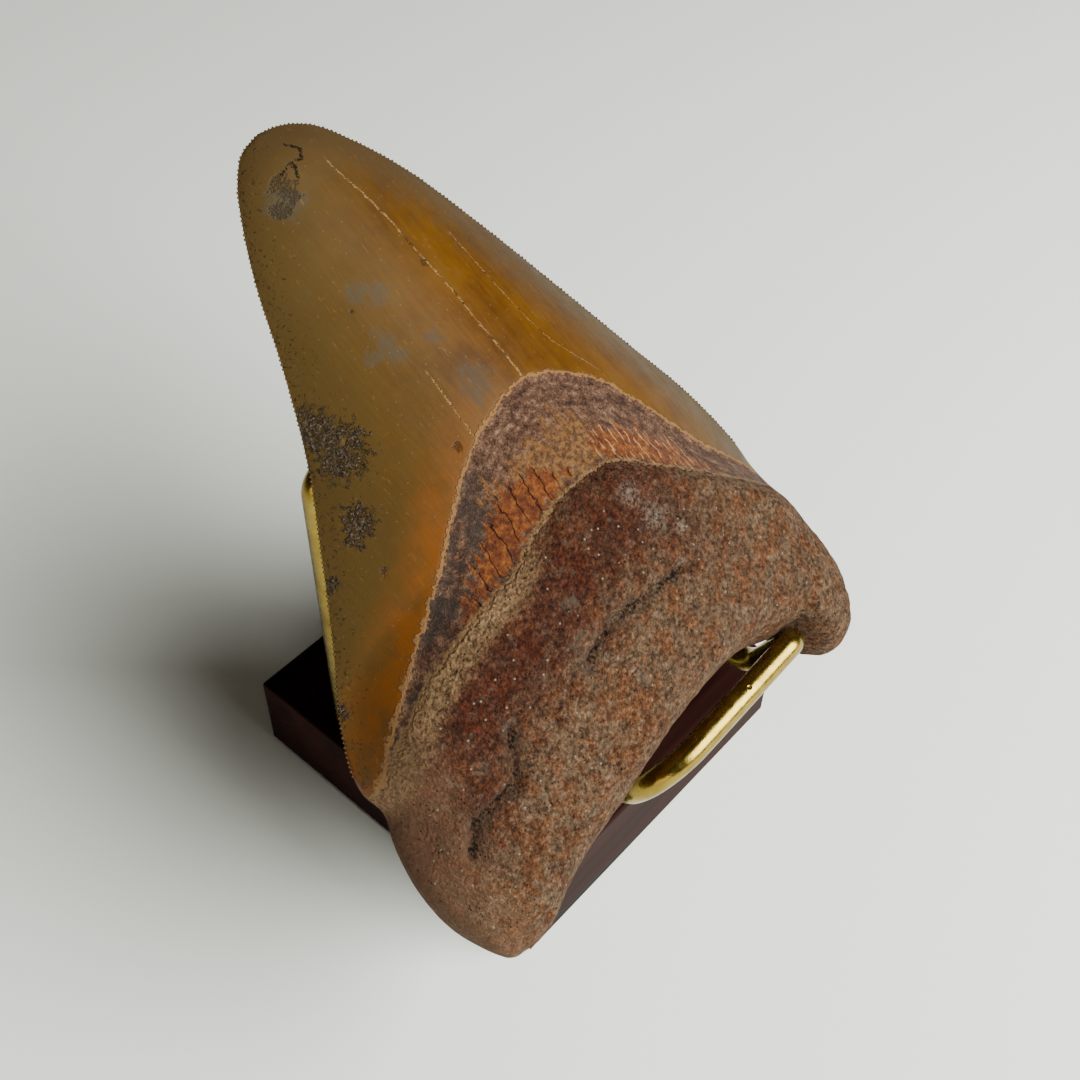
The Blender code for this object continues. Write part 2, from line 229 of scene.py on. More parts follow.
# Measures kept on the tooth's points for its material, and what keeps the front's marks off the back
MARKS = [
    "enamel_mm", "root_mm", "crevice_mm", "crust", "left_mm", "right_mm", "orange_mm", "tan_mm",
    "smear", "spot", "lichen", "crack_0", "crack_1", "crack_2", "past_0", "past_1", "past_2",
    "across_mm", "along_mm", "tip_mm", "tip_crack_mm",
]
OFF_THE_BACK = {
    "crevice_mm": 99.0, "orange_mm": -99.0, "tan_mm": -99.0, "smear": -1.0, "spot": -1.0,
    "lichen": -1.0, "past_0": 99.0, "past_1": 99.0, "past_2": 99.0, "tip_crack_mm": 99.0,
}

TABLE_HALF_SIZE = 2.5
ROOM_LIGHT = 0.04


def step(low, high, value):
    """0 below low, 1 above high, eased between them."""
    k = np.clip((value - low) / (high - low), 0, 1)
    return k * k * (3 - 2 * k)


def cubic(start, end, start_slope, end_slope, width, k):
    """A cubic from start to end with the given slopes, at share k of its width."""
    return (
        (2 * k**3 - 3 * k**2 + 1) * start
        + (k**3 - 2 * k**2 + k) * width * start_slope
        + (3 * k**2 - 2 * k**3) * end
        + (k**3 - k**2) * width * end_slope
    )


def along(points, share):
    """Points of a smooth curve through the given ones, at shares of its length."""
    p = np.array(points, float)
    reach = np.concatenate([[0.0], np.cumsum(np.linalg.norm(np.diff(p, axis=0), axis=1))])
    reach /= reach[-1]
    slope = np.gradient(p, reach, axis=0)
    i = np.clip(np.searchsorted(reach, share, side="right") - 1, 0, len(p) - 2)
    width = reach[i + 1] - reach[i]
    k = ((share - reach[i]) / width)[..., None]
    return cubic(p[i], p[i + 1], slope[i], slope[i + 1], width[..., None], k)


def level(points, x):
    """The second coordinate of a smooth curve, read at its first."""
    p = np.array(points, float)
    slope = np.gradient(p[:, 1], p[:, 0])
    x = np.clip(x, p[0, 0], p[-1, 0])
    i = np.clip(np.searchsorted(p[:, 0], x, side="right") - 1, 0, len(p) - 2)
    width = p[i + 1, 0] - p[i, 0]
    k = (x - p[i, 0]) / width
    return cubic(p[i, 1], p[i + 1, 1], slope[i], slope[i + 1], width, k)


def rounded(distance, radius):
    """A quarter circle's height, 0 at the rim and 1 from one radius in."""
    k = np.clip(distance / radius, 0, 1)
    return np.sqrt(1 - (1 - k) ** 2)


def line_distance(line, x, s):
    """Distance in the tooth's plane to a chain of straight pieces."""
    nearest = np.full(x.shape, np.inf)
    for (x0, s0), (x1, s1) in zip(line, line[1:]):
        run, rise = x1 - x0, s1 - s0
        k = np.clip(((x - x0) * run + (s - s0) * rise) / (run**2 + rise**2), 0, 1)
        nearest = np.minimum(nearest, np.hypot(x - x0 - k * run, s - s0 - k * rise))
    return nearest


def border_distance(points, x, s):
    """Millimetres above a border, measured square to it, negative below."""
    xs = np.linspace(points[0][0], points[-1][0], 120)
    line = list(zip(xs, level(points, xs)))
    return np.sign(s - level(points, x)) * line_distance(line, x, s)


def outline_distance(corners, x, s):
    """Millimetres inside a closed outline, negative outside."""
    inside = np.zeros(x.shape, bool)
    closed = corners + corners[:1]
    for (x0, s0), (x1, s1) in zip(closed, closed[1:]):
        crosses = (s0 > s) != (s1 > s)
        at = x0 + (s - s0) * (x1 - x0) / (s1 - s0 if s1 != s0 else 1e-9)
        inside ^= crosses & (x < at)
    return np.where(inside, 1, -1) * line_distance(closed, x, s)


def nearness(spots, x, s):
    """1 at the middle of the nearest spot, 0 at its radius and below 0 beyond it."""
    return np.max([1 - np.hypot(x - px, s - ps) / radius for px, ps, radius in spots], axis=0).clip(-1)


def rough(x, s, length, side, octaves=1):
    """Seeded unevenness between about -1 and 1, with the given length in millimetres."""
    spots = [Vector((a / length, b / length, side)) for a, b in zip(x.flat, s.flat)]
    if octaves == 1:
        return np.array([noise.noise(spot) for spot in spots]).reshape(x.shape)
    return np.array([noise.fractal(spot, 0.8, 2.1, octaves) for spot in spots]).reshape(x.shape)


def tooth_surface(u, v):
    """Positions in the tooth's axes and the distances its colours follow, for shares u and v."""
    left = along(LEFT_EDGE, v)
    right = along(RIGHT_EDGE, v)
    x = left[..., 0] * (1 - u) + right[..., 0] * u
    s = left[..., 1] * (1 - u) + right[..., 1] * u
    chord_x = LEFT_EDGE[-1][0] * (1 - u) + RIGHT_EDGE[-1][0] * u
    chord_s = LEFT_EDGE[-1][1] * (1 - u) + RIGHT_EDGE[-1][1] * u
    under = level(UNDERSIDE, chord_x)
    s = s + step(UNDERSIDE_FROM, 1.0, v) * (under - chord_s)

    off_centre = np.abs(2 * u - 1)
    width = right[..., 0] - left[..., 0]
    to_side = np.minimum(u, 1 - u) * width
    low = 1 - step(*CROWN_STARTS, s)
    side_round = CROWN_SIDE_ROUND + (SIDE_ROUND - CROWN_SIDE_ROUND) * low
    rim = rounded(to_side, side_round) * rounded(s - under, UNDER_ROUND)
    blade = 1 - off_centre**2

    edge = level(EDGE_LINE, s)
    above_root = s - level(ROOT_BORDER, x)
    root = 1 - step(*SHOULDER, above_root)
    thinned = 1 - LOBE_THINNING * off_centre**2 * low
    body = (ROOT_DOME * blade + (1 - ROOT_DOME)) * rim * thinned
    front = edge + (level(FRONT_LINE, s) - edge) * (blade * (1 - root) + body * root)
    back_root = 1 - step(*BACK_CROWN_STARTS, s)
    back_blade = 1 - off_centre**BACK_DOME_POWER
    back = edge - (edge - level(BACK_LINE, s)) * (back_blade * (1 - back_root) + rim * back_root)

    inset = step(0, INSET, np.minimum(to_side, s - under))
    near_rim = step(0, RIM_INSET, np.minimum(to_side, s - under))
    root_mm = border_distance(ROOT_BORDER, x, s)
    enamel_mm = border_distance(ENAMEL_BORDER, x, s)
    band = step(0.0, 1.2, root_mm) * (1 - step(-1.3, 0.1, enamel_mm))
    front += inset * (TORUS_RISE * (1 - step(-3.0, 0.5, above_root)) - BAND_SINK * band)
    crevice_mm = np.full(x.shape, 99.0)
    for line in CREVICES:
        crevice_mm = np.minimum(crevice_mm, line_distance(line, x, s))
    ragged = crevice_mm + 0.8 * rough(x, s, 2.0, 3.0)
    front -= inset * CREVICE_DEPTH * np.exp(-((ragged / CREVICE_HALF_WIDTH) ** 2))
    front -= inset * CLEFT_DEPTH * np.exp(-((ragged / CLEFT_HALF_WIDTH) ** 2))
    on_root = 1 - step(-4, 0, above_root)
    front += inset * LUMP_HEIGHT * on_root * rough(x, s, LUMP_LENGTH, 0.0)
    grain = sum(height * rough(x, s, length, side, 2) for height, length, side in ROOT_GRAIN)
    front += near_rim * on_root * grain
    for px, ps, radius, depth in PITS:
        front -= near_rim * depth * np.exp(-((np.hypot(x - px, s - ps) / radius) ** 2))

    crust = nearness(CRUST, x, s)
    crusted = step(0.15, 0.45, crust + 0.3 * rough(x, s, 1.6, 5.0))
    front -= near_rim * crusted * (CRUST_DEPTH + CRUST_GRAIN_HEIGHT * rough(x, s, 1.2, 6.0, 3))
    on_enamel = step(0.0, 2.0, enamel_mm)
    front += near_rim * on_enamel * ENAMEL_WAVE_HEIGHT * rough(x * 6, s * 0.6, 30.0, 8.0)

    back_root_mm = border_distance(BACK_ENAMEL_BORDER, x, s)
    back_step = 1 - step(-2.0, 1.0, s - level(BACK_ENAMEL_BORDER, x))
    back -= inset * back_step * (BACK_ROOT_SINK - LUMP_HEIGHT * rough(x, s, LUMP_LENGTH, 7.0))
    back -= near_rim * back_step * BACK_GRAIN_HEIGHT * rough(x, s, 2.6, 9.0, 3)

    marks = {
        "enamel_mm": enamel_mm, "root_mm": root_mm, "crevice_mm": crevice_mm, "crust": crust,
        "back_root_mm": back_root_mm, "left_mm": u * width, "right_mm": (1 - u) * width,
        "orange_mm": np.maximum(*[outline_distance(patch, x, s) for patch in ORANGE_PATCHES]),
        "tan_mm": outline_distance(TAN_PATCH, x, s), "smear": nearness(SMEARS, x, s),
        "spot": nearness(DARK_SPOTS, x, s), "lichen": nearness(LICHEN, x, s),
        "across_mm": x, "along_mm": s, "tip_mm": LEFT_EDGE[0][1] - s,
        "tip_crack_mm": np.minimum(*[line_distance(crack, x, s) for crack in TIP_CRACKS]),
    }
    for number, crack in enumerate(LONG_CRACKS):
        path = np.array(crack[::-1])
        marks[f"crack_{number}"] = x - np.interp(s, path[:, 1], path[:, 0])
        marks[f"past_{number}"] = np.maximum(0, np.maximum(path[0, 1] - s, s - path[-1, 1]))
    return x, s, front, back, marks


def tooth_place(x, s, h):
    """The place in metres of a point in the tooth's own axes."""
    y = TOOTH_FOOT[1] + s * math.cos(TOOTH_LEAN) - h * math.sin(TOOTH_LEAN)
    z = TOOTH_FOOT[2] + s * math.sin(TOOTH_LEAN) + h * math.cos(TOOTH_LEAN)
    return np.stack([(TOOTH_FOOT[0] + x) * MM, y * MM, z * MM], axis=-1)


def paint(code):
    """A linear colour from an sRGB hex code."""
    parts = [int(code[i:i + 2], 16) / 255 for i in (1, 3, 5)]
    return (*[c / 12.92 if c <= 0.04045 else ((c + 0.055) / 1.055) ** 2.4 for c in parts], 1.0)


def add(tree, kind, *inputs, out=0, stops=(), named=None, **settings):
    """One node with its settings; its inputs, in order or named, take values or other nodes' outputs."""
    made = tree.nodes.new(kind)
    for name, value in settings.items():
        setattr(made, name, value)
    for key, value in [*enumerate(inputs), *(named or {}).items()]:
        if isinstance(value, bpy.types.NodeSocket):
            tree.links.new(value, made.inputs[key])
        elif value is not None:
            made.inputs[key].default_value = value
    for number, (place, colour) in enumerate(stops):
        if number >= len(made.color_ramp.elements):
            made.color_ramp.elements.new(1.0)
        made.color_ramp.elements[number].position = place
        made.color_ramp.elements[number].color = paint(colour)
    return made.outputs[out] if len(made.outputs) else None


# Kinds of node, and the settings given to them
MATH = "ShaderNodeMath"
EASE = "ShaderNodeMapRange"
BLEND = "ShaderNodeMixRGB"
RAMP = "ShaderNodeValToRGB"
NOISE = "ShaderNodeTexNoise"
CELLS = "ShaderNodeTexVoronoi"
STRETCH = "ShaderNodeMapping"
MARK = "ShaderNodeAttribute"
BUMP = "ShaderNodeBump"
TIMES = {"operation": "MULTIPLY"}
PLUS = {"operation": "ADD"}
LESS = {"operation": "SUBTRACT"}
TIMES_PLUS = {"operation": "MULTIPLY_ADD"}
SIZE = {"operation": "ABSOLUTE"}
WRAP = {"operation": "FRACT"}
WAVE = {"operation": "SINE"}
LARGER = {"operation": "MAXIMUM"}
SMOOTH = {"interpolation_type": "SMOOTHSTEP"}


def new_material(name):
    """An empty node material, its tree and its Principled shader."""
    material = bpy.data.materials.new(name)
    material.use_nodes = True
    return material, material.node_tree, material.node_tree.nodes["Principled BSDF"]


def enamel_finish(tree, spot, mark, slow, quick, grit):
    """Enameloid stained amber by iron: smooth and waxy, olive on the left, with a painted grey sheen along
    the right edge.
    """
    drawn = add(tree, STRETCH, spot, None, None, (1.0, 0.05, 0.4))
    streak = add(tree, NOISE, drawn, None, 1.1, 4.0, 0.65)
    cloud = add(tree, NOISE, spot, None, 0.07, 5.0, 0.65)
    tone = add(tree, MATH, streak, 0.30, add(tree, MATH, cloud, 0.70, **TIMES), **TIMES_PLUS)
    colour = add(
        tree, RAMP, tone,
        stops=[(0.36, "#3e2306"), (0.46, "#492c07"), (0.55, "#513208"), (0.68, "#543911")],
    )
    left = add(tree, MATH, slow, 9.0, mark["left_mm"], **TIMES_PLUS)
    olive = add(tree, EASE, left, 36.0, 2.0, 0.0, 0.9, **SMOOTH)
    colour = add(tree, BLEND, olive, colour, paint("#46371c"))
    # Painted sheen: the enamel turns greyer within about 15 mm of the right edge, standing in for the
    # reflection there
    right = add(tree, MATH, slow, 9.0, mark["right_mm"], **TIMES_PLUS)
    chalk_and_edge_sheen = add(tree, EASE, right, 15.0, 0.5, 0.0, 0.85, **SMOOTH)
    colour = add(tree, BLEND, chalk_and_edge_sheen, colour, paint("#3e3121"))
    top = add(tree, EASE, mark["tip_mm"], 22.0, 2.0, 0.0, 0.6, **SMOOTH)
    colour = add(tree, BLEND, top, colour, paint("#41311c"))

    near_band = add(tree, EASE, mark["enamel_mm"], 8.0, 0.5, **SMOOTH)
    low_left = add(tree, EASE, mark["left_mm"], 34.0, 12.0, **SMOOTH)
    rust = add(tree, MATH, near_band, low_left, **TIMES)
    patchy = add(tree, EASE, add(tree, NOISE, spot, None, 0.2, 4.0, 0.65), 0.30, 0.60, 0.3, 1.0, **SMOOTH)
    rust = add(tree, MATH, rust, patchy, **TIMES)
    colour = add(tree, BLEND, add(tree, MATH, rust, 0.5, **TIMES), colour, paint("#7a3e0f"))

    # Thin grey deposits and darker pitted spots, broken up by the grit under them
    torn = add(tree, MATH, quick, 0.9, add(tree, MATH, slow, 1.6, **TIMES), **TIMES_PLUS)
    smear = add(tree, MATH, mark["smear"], torn, **PLUS)
    smear = add(tree, EASE, smear, 0.18, 0.55, **SMOOTH)
    speckle = add(tree, EASE, grit, 0.43, 0.57, 0.1, 1.0)
    smear = add(tree, MATH, smear, speckle, **TIMES)
    colour = add(tree, BLEND, add(tree, MATH, smear, 0.75, **TIMES), colour, paint("#3c3a33"))
    pitted = add(tree, EASE, add(tree, MATH, mark["spot"], torn, **PLUS), 0.25, 0.60, **SMOOTH)
    pitted = add(tree, MATH, pitted, add(tree, EASE, grit, 0.58, 0.42, 0.3, 1.0), **TIMES)
    colour = add(tree, BLEND, add(tree, MATH, pitted, 0.55, **TIMES), colour, paint("#28211a"))

    # Crust of matrix on the left edge: dark pits, purple-brown body and pale grains
    shreds = add(tree, MATH, add(tree, NOISE, spot, None, 0.8, 5.0, 0.75), 0.5, **LESS)
    crust = add(tree, EASE, add(tree, MATH, shreds, 4.2, mark["crust"], **TIMES_PLUS), 0.22, 0.62, **SMOOTH)
    gravel = add(tree, CELLS, spot, None, 3.6, out="Color")
    gravel = add(tree, "ShaderNodeSeparateColor", gravel)
    gravel = add(tree, MATH, gravel, 0.45, add(tree, MATH, grit, 0.55, **TIMES), **TIMES_PLUS)
    gravel = add(
        tree, RAMP, gravel,
        stops=[(0.34, "#1c150f"), (0.44, "#31271e"), (0.56, "#473b30"), (0.78, "#706456")],
    )
    crumbs = add(tree, EASE, add(tree, NOISE, spot, None, 1.6, 4.0, 0.7), 0.42, 0.54, 0.25, 0.9, **SMOOTH)
    colour = add(tree, BLEND, add(tree, MATH, crust, crumbs, **TIMES), colour, gravel)
    flecks = add(tree, NOISE, spot, None, 1.5, 4.0, 0.75)
    flecks = add(tree, MATH, mark["left_mm"], -0.016, flecks, **TIMES_PLUS)
    flecks = add(tree, EASE, flecks, 0.53, 0.63, 0.0, 0.6, **SMOOTH)
    colour = add(tree, BLEND, flecks, colour, paint("#150f09"))
    pale = add(tree, CELLS, spot, None, 0.62)
    pale = add(tree, EASE, add(tree, MATH, quick, 0.12, pale, **TIMES_PLUS), 0.12, 0.07, 0.0, 0.25, **SMOOTH)
    colour = add(tree, BLEND, pale, colour, paint("#6d5c45"))

    # Hair-fine scratches along the crown and three long drying cracks
    scratch = add(tree, NOISE, drawn, None, 3.6, 1.0, 0.4)
    scratch = add(tree, EASE, scratch, 0.69, 0.80, 0.0, 0.30, **SMOOTH)
    colour = add(tree, BLEND, scratch, colour, paint("#77552b"))
    cracks = None
    for number, (half_width, reach) in enumerate([(0.24, 3.0), (0.15, 3.0), (0.18, 1.5)]):
        aside = add(tree, MATH, quick, 1.3, mark[f"crack_{number}"], **TIMES_PLUS)
        line = add(tree, EASE, add(tree, MATH, aside, **SIZE), half_width, half_width * 0.3, **SMOOTH)
        ends = add(tree, EASE, mark[f"past_{number}"], reach, 0.0, **SMOOTH)
        line = add(tree, MATH, line, ends, **TIMES)
        cracks = line if cracks is None else add(tree, MATH, cracks, line, **LARGER)
    broken = add(tree, EASE, add(tree, NOISE, spot, None, 0.6, 3.0, 0.7), 0.36, 0.56, 0.25, 1.0, **SMOOTH)
    cracks = add(tree, MATH, cracks, broken, **TIMES)
    dirt = add(tree, EASE, add(tree, NOISE, spot, None, 0.8, 2.0, 0.5), 0.54, 0.62, **SMOOTH)
    crack_colour = add(tree, BLEND, dirt, paint("#8a6a3f"), paint("#1c1108"))
    colour = add(tree, BLEND, add(tree, MATH, cracks, 0.7, **TIMES), colour, crack_colour)
    tip_crack = add(tree, MATH, quick, 1.5, mark["tip_crack_mm"], **TIMES_PLUS)
    tip_crack = add(tree, EASE, tip_crack, 0.34, 0.06, 0.0, 0.9, **SMOOTH)
    colour = add(tree, BLEND, tip_crack, colour, paint("#0a0604"))

    dull = add(tree, MATH, add(tree, MATH, crust, smear, **LARGER), 0.35, **TIMES)
    waxy = add(tree, EASE, add(tree, NOISE, spot, None, 0.3, 4.0, 0.6), 0.3, 0.7, 0.38, 0.50)
    roughness = add(tree, MATH, dull, waxy, **PLUS)
    height = add(tree, MATH, add(tree, MATH, grit, crust, **TIMES), 0.8, 0.25, **TIMES_PLUS)
    height = add(tree, MATH, streak, 0.06, height, **TIMES_PLUS)
    height = add(tree, MATH, cracks, -0.12, height, **TIMES_PLUS)
    height = add(tree, MATH, add(tree, MATH, flecks, pitted, **LARGER), -0.15, height, **TIMES_PLUS)
    height = add(tree, MATH, tip_crack, -0.2, height, **TIMES_PLUS)
    return colour, roughness, height


def band_finish(tree, spot, mark, slow, quick, grit, enamel_edge, root_edge):
    """Bourlette: dull chestnut dentine with faint growth lines, and glossy orange plates split by cracks."""
    rings = add(tree, MATH, slow, 7.0, add(tree, MATH, mark["enamel_mm"], 4.4, **TIMES), **TIMES_PLUS)
    rings = add(tree, MATH, rings, **WAVE)
    specks = add(tree, "ShaderNodeSeparateColor", add(tree, CELLS, spot, None, 3.2, out="Color"))
    mottle = add(tree, NOISE, spot, None, 0.5, 5.0, 0.65)
    tone = add(tree, MATH, grit, 0.35, add(tree, MATH, mottle, 0.50, **TIMES), **TIMES_PLUS)
    tone = add(tree, MATH, specks, 0.09, tone, **TIMES_PLUS)
    tone = add(tree, MATH, rings, 0.022, tone, **TIMES_PLUS)
    colour = add(
        tree, RAMP, tone,
        stops=[(0.35, "#251712"), (0.45, "#442d22"), (0.53, "#5d4334"), (0.66, "#896d57")],
    )
    left = add(tree, EASE, mark["across_mm"], -12.0, -24.0, **SMOOTH)
    grey = add(tree, EASE, add(tree, NOISE, spot, None, 0.18, 3.0, 0.6), 0.44, 0.58, 0.0, 0.7, **SMOOTH)
    colour = add(tree, BLEND, add(tree, MATH, grey, left, **TIMES), colour, paint("#292522"))

    # Tan drips hang from the middle of the band
    drips = add(tree, STRETCH, spot, None, (0.0, 0.0, -0.2), (1.6, 0.22, 0.4))
    drips = add(tree, NOISE, drips, None, 0.55, 3.0, 0.6)
    drips = add(tree, MATH, add(tree, MATH, drips, 0.5, **LESS), 14.0, mark["tan_mm"], **TIMES_PLUS)
    tan = add(tree, EASE, drips, -1.0, 1.6, 0.0, 0.6, **SMOOTH)
    blotch = add(tree, EASE, add(tree, NOISE, spot, None, 1.2, 4.0, 0.65), 0.42, 0.60, **SMOOTH)
    colour = add(tree, BLEND, tan, colour, add(tree, BLEND, blotch, paint("#452f1e"), paint("#7e5529")))

    # Orange plates, split by dark cracks on the left and by pale veins on the right
    slant = add(tree, MATH, mark["along_mm"], -0.2, mark["across_mm"], **TIMES_PLUS)
    slant = add(tree, MATH, slow, 2.2, slant, **TIMES_PLUS)
    ragged = add(tree, STRETCH, spot, None, (0.0, 0.0, -0.2), (2.2, 0.35, 0.4))
    ragged = add(tree, MATH, add(tree, NOISE, ragged, None, 0.6, 2.0, 0.6), 0.5, **LESS)
    orange = add(tree, MATH, ragged, 9.0, mark["orange_mm"], **TIMES_PLUS)
    orange = add(tree, EASE, orange, -0.3, 0.3, **SMOOTH)
    plates = add(
        tree, RAMP, add(tree, NOISE, spot, None, 0.7, 5.0, 0.7),
        stops=[(0.36, "#3c1e14"), (0.48, "#582d17"), (0.60, "#72411d"), (0.70, "#7e582d")],
    )
    colour = add(tree, BLEND, orange, colour, plates)
    gaps = add(tree, MATH, add(tree, MATH, add(tree, MATH, slant, 0.36, **TIMES), **WRAP), 0.5, **LESS)
    gaps = add(tree, EASE, add(tree, MATH, gaps, **SIZE), 0.055, 0.015, **SMOOTH)
    gaps = add(tree, MATH, gaps, add(tree, EASE, mark["across_mm"], 1.0, -1.0), **TIMES)
    gaps = add(tree, MATH, gaps, add(tree, MATH, orange, 0.85, **TIMES), **TIMES)
    colour = add(tree, BLEND, gaps, colour, paint("#120906"))
    veins = add(tree, MATH, add(tree, MATH, add(tree, MATH, slant, 0.6, **TIMES), **WRAP), 0.5, **LESS)
    veins = add(tree, EASE, add(tree, MATH, veins, **SIZE), 0.12, 0.03, **SMOOTH)
    veins = add(tree, MATH, veins, add(tree, EASE, mark["across_mm"], -1.0, 1.0), **TIMES)
    patchy = add(tree, EASE, add(tree, NOISE, spot, None, 0.5, 2.0, 0.5), 0.38, 0.55, 0.0, 0.8, **SMOOTH)
    veins = add(tree, MATH, veins, add(tree, MATH, orange, patchy, **TIMES), **TIMES)
    colour = add(tree, BLEND, veins, colour, paint("#a98257"))

    # Thin tan lip of the enamel above, and the root's lip below
    lip = add(tree, MATH, add(tree, MATH, enamel_edge, 0.25, **PLUS), **SIZE)
    lip = add(tree, EASE, lip, 0.55, 0.20, 0.0, 0.9, **SMOOTH)
    colour = add(tree, BLEND, lip, colour, paint("#7d5a36"))
    root_lip = add(tree, EASE, add(tree, MATH, root_edge, **SIZE), 0.8, 0.2, 0.0, 0.75, **SMOOTH)
    colour = add(tree, BLEND, root_lip, colour, paint("#8a6a48"))
    roughness = add(tree, EASE, orange, 0.0, 1.0, 0.62, 0.45)
    height = add(tree, MATH, grit, 0.45, add(tree, MATH, rings, 0.015, **TIMES), **TIMES_PLUS)
    height = add(tree, MATH, gaps, -0.3, height, **TIMES_PLUS)
    height = add(tree, MATH, lip, 0.25, height, **TIMES_PLUS)
    return colour, roughness, height


def root_finish(tree, spot, mark, slow, quick, grit, root_edge):
    """Porous root: brown stone as rough as sandpaper, maroon under the band and tan on the lobes, with
    painted light lifting the left lobe.
    """
    # Sandy noise from about 1 mm down, over grains of about 0.7 mm that each have their own shade
    sand = add(tree, NOISE, spot, None, 1.25, 5.0, 0.72)
    grain = add(tree, EASE, add(tree, CELLS, spot, None, 1.5), 0.62, 0.12, **SMOOTH)
    shade = add(tree, "ShaderNodeSeparateColor", add(tree, CELLS, spot, None, 1.5, out="Color"))
    tone = add(tree, MATH, grain, 0.05, add(tree, MATH, shade, 0.12, **TIMES), **TIMES_PLUS)
    tone = add(tree, MATH, sand, 0.78, tone, **TIMES_PLUS)
    tone = add(tree, MATH, slow, 0.25, tone, **TIMES_PLUS)
    colour = add(
        tree, RAMP, tone,
        stops=[
            (0.30, "#2a1c16"), (0.41, "#483526"), (0.50, "#5f4835"), (0.60, "#77604c"), (0.76, "#968772"),
        ],
    )
    below = add(tree, EASE, mark["root_mm"], -24.0, -9.0, **SMOOTH)
    middle = add(tree, EASE, mark["across_mm"], 22.0, -1.0, **SMOOTH)
    patchy = add(tree, EASE, add(tree, NOISE, spot, None, 0.1, 3.0, 0.6), 0.30, 0.52, 0.6, 1.0, **SMOOTH)
    maroon = add(tree, MATH, add(tree, MATH, below, middle, **TIMES), patchy, **TIMES)
    colour = add(tree, BLEND, maroon, colour, paint("#bf968e"), blend_type="MULTIPLY")
    russet = add(tree, EASE, add(tree, NOISE, spot, None, 0.22, 5.0, 0.75), 0.46, 0.57, **SMOOTH)
    colour = add(tree, BLEND, russet, colour, paint("#fad6bc"), blend_type="MULTIPLY")
    ash = add(tree, EASE, add(tree, NOISE, spot, None, 0.36, 6.0, 0.8), 0.53, 0.64, 0.0, 0.4, **SMOOTH)
    colour = add(tree, BLEND, ash, colour, paint("#5e5548"))
    # Tan strip along the root's border on the left, made lighter as painted light on this left-facing side
    rim = add(tree, EASE, root_edge, -4.4, -0.8, **SMOOTH)
    rim = add(tree, MATH, rim, add(tree, EASE, mark["across_mm"], -14.0, -30.0, 0.0, 0.80), **TIMES)
    rim = add(tree, MATH, rim, add(tree, EASE, sand, 0.38, 0.60, 0.15, 1.0), **TIMES)
    colour = add(tree, BLEND, rim, colour, paint("#a58560"))

    # Tan towards the left edge, partly real colour and partly painted light on the left lobe, which faces
    # away from the window
    tan_flank_and_painted_light = add(tree, MATH, slow, 8.0, mark["left_mm"], **TIMES_PLUS)
    tan_flank_and_painted_light = add(tree, EASE, tan_flank_and_painted_light, 11.0, 2.0, 0.0, 0.38, **SMOOTH)
    colour = add(tree, BLEND, tan_flank_and_painted_light, colour, paint("#80614a"))

    # Pale crust in soft patches, and a few chalky grains
    lichen = add(tree, MATH, add(tree, MATH, quick, 1.3, **TIMES), mark["lichen"], **PLUS)
    lichen = add(tree, EASE, lichen, 0.15, 1.10, **SMOOTH)
    lichen = add(tree, MATH, lichen, add(tree, EASE, sand, 0.40, 0.62), **TIMES)
    colour = add(tree, BLEND, add(tree, MATH, lichen, 0.6, **TIMES), colour, paint("#8a8074"))
    chalk_and_edge_sheen = add(tree, EASE, add(tree, CELLS, spot, None, 0.45), 0.11, 0.06, 0.0, 0.8, **SMOOTH)
    colour = add(tree, BLEND, chalk_and_edge_sheen, colour, paint("#8c8172"))

    # Painted shade in the crevices, with a darker lining around them, and painted shade in pores about 1 mm
    # apart
    hollow = add(tree, MATH, quick, 4.0, mark["crevice_mm"], **TIMES_PLUS)
    lining = add(tree, EASE, hollow, 2.4, 0.4, 0.0, 0.28, **SMOOTH)
    colour = add(tree, BLEND, lining, colour, paint("#494038"))
    hollow = add(tree, EASE, hollow, 0.60, 0.0, **SMOOTH)
    broken = add(tree, EASE, add(tree, NOISE, spot, None, 0.6, 3.0, 0.7), 0.42, 0.54, 0.2, 0.9, **SMOOTH)
    hollow = add(tree, MATH, hollow, broken, **TIMES)
    pores = add(tree, CELLS, spot, None, 1.1)
    few = add(tree, EASE, add(tree, NOISE, spot, None, 0.4, 2.0, 0.5), 0.47, 0.60, **SMOOTH)
    pores = add(tree, MATH, add(tree, EASE, pores, 0.24, 0.12, 0.0, 0.85, **SMOOTH), few, **TIMES)
    dark = add(tree, MATH, hollow, pores, **LARGER)
    colour = add(tree, BLEND, dark, colour, paint("#080504"))
    height = add(tree, MATH, grit, 0.45, add(tree, MATH, grain, 0.22, **TIMES), **TIMES_PLUS)
    height = add(tree, MATH, sand, 1.1, height, **TIMES_PLUS)
    height = add(tree, MATH, dark, -0.4, height, **TIMES_PLUS)
    return colour, 0.88, height


